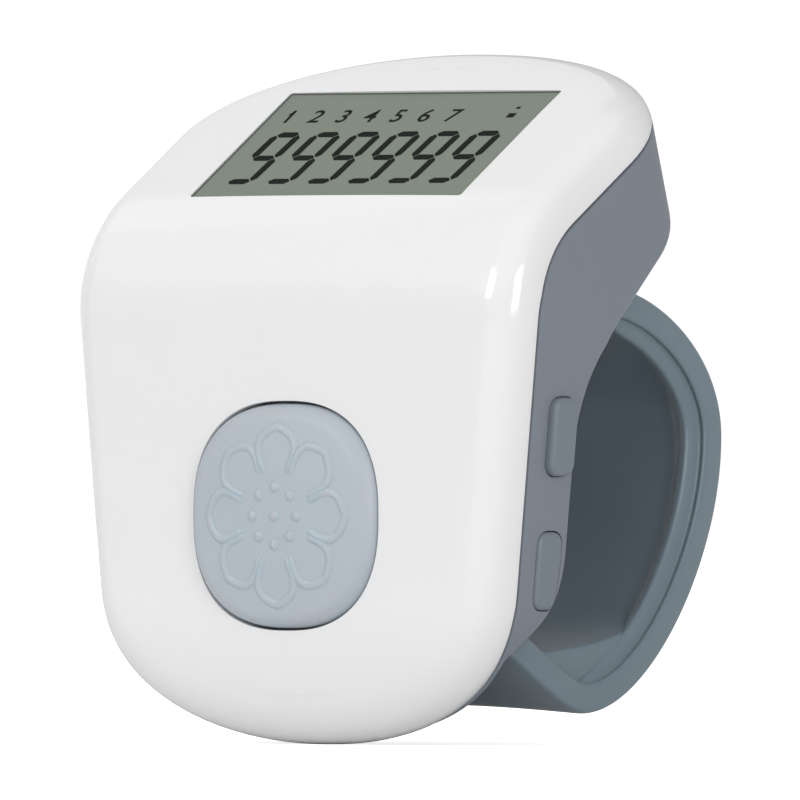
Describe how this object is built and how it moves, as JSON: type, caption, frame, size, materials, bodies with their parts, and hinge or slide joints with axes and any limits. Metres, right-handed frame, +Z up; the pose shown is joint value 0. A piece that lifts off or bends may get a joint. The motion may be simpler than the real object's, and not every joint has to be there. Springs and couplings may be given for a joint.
{
  "type": "digital finger counter",
  "caption": "Tally counter worn on a finger: bent two-part case with a display, a relief thumb button, side buttons and a silicone strap.",
  "frame": {"origin": "centre of the loop that the finger goes through, half way between the housing's saddle and the strap", "axes": "+Z up along the button panel towards the display, +X along the finger towards the side buttons, -Y out of the button panel"},
  "size_m": [0.0354, 0.0262, 0.0417],
  "materials": {
    "white_gloss": "glossy moulded ABS with a fine satin skin",
    "grey_housing": "satin moulded ABS",
    "side_button_grey": "satin moulded ABS, a little lighter than the housing",
    "count_button_grey": "frosted, slightly translucent plastic",
    "strap_silicone": "soft matt silicone",
    "clear_window": "clear polished acrylic",
    "display_glass": "display glass",
    "display_reflector": "grey-green reflective film",
    "inner_white": "unpainted white plastic",
    "ribbon_film": "amber polyimide film",
    "board_green": "solder resist on glass-epoxy board",
    "chip_resin": "black potting resin",
    "switch_black": "black nylon",
    "contact_steel": "nickel-plated spring steel",
    "cell_steel": "polished steel can",
    "screw_steel": "zinc-plated steel",
    "red_wire": "red wire insulation",
    "black_wire": "black wire insulation"
  },
  "bodies": {
    "case": {"top_cover": "white_gloss", "lower_housing": "grey_housing", "window_lens": "clear_window", "display_front_glass": "display_glass", "display_rear_glass": "display_glass", "display_reflector": "display_reflector", "display_frame": "inner_white", "display_ribbon": "ribbon_film", "main_board": "board_green", "driver_chip": "chip_resin", "count_switch": "switch_black", "upper_side_switch": "switch_black", "lower_side_switch": "switch_black", "button_cell": "cell_steel", "battery_plus_contact": "contact_steel", "battery_minus_contact": "contact_steel", "battery_wire_plus": "red_wire", "battery_wire_minus": "black_wire", "battery_door": "grey_housing", "battery_door_screw": "screw_steel", "case_screw_low_left": "screw_steel", "case_screw_low_right": "screw_steel", "case_screw_top_left": "screw_steel", "case_screw_top_right": "screw_steel", "finger_strap": "strap_silicone"},
    "count_button": {"count_button": "count_button_grey", "count_switch_plunger": "contact_steel"},
    "upper_side_button": {"upper_side_button": "side_button_grey", "upper_side_switch_plunger": "contact_steel"},
    "lower_side_button": {"lower_side_button": "side_button_grey", "lower_side_switch_plunger": "contact_steel"}
  },
  "joints": [
    {"name": "count_press", "type": "slide", "parent": "case", "child": "count_button", "axis": [0, 1, 0], "range_m": [0, 0.0004], "stiffness_N_per_m": 1500, "springref_m": -0.0003},
    {"name": "upper_side_press", "type": "slide", "parent": "case", "child": "upper_side_button", "axis": [-0.995, 0, 0.0995], "range_m": [0, 0.00035], "stiffness_N_per_m": 1500, "springref_m": -0.0003},
    {"name": "lower_side_press", "type": "slide", "parent": "case", "child": "lower_side_button", "axis": [-0.995, 0, 0.0995], "range_m": [0, 0.00035], "stiffness_N_per_m": 1500, "springref_m": -0.0003}
  ]
}
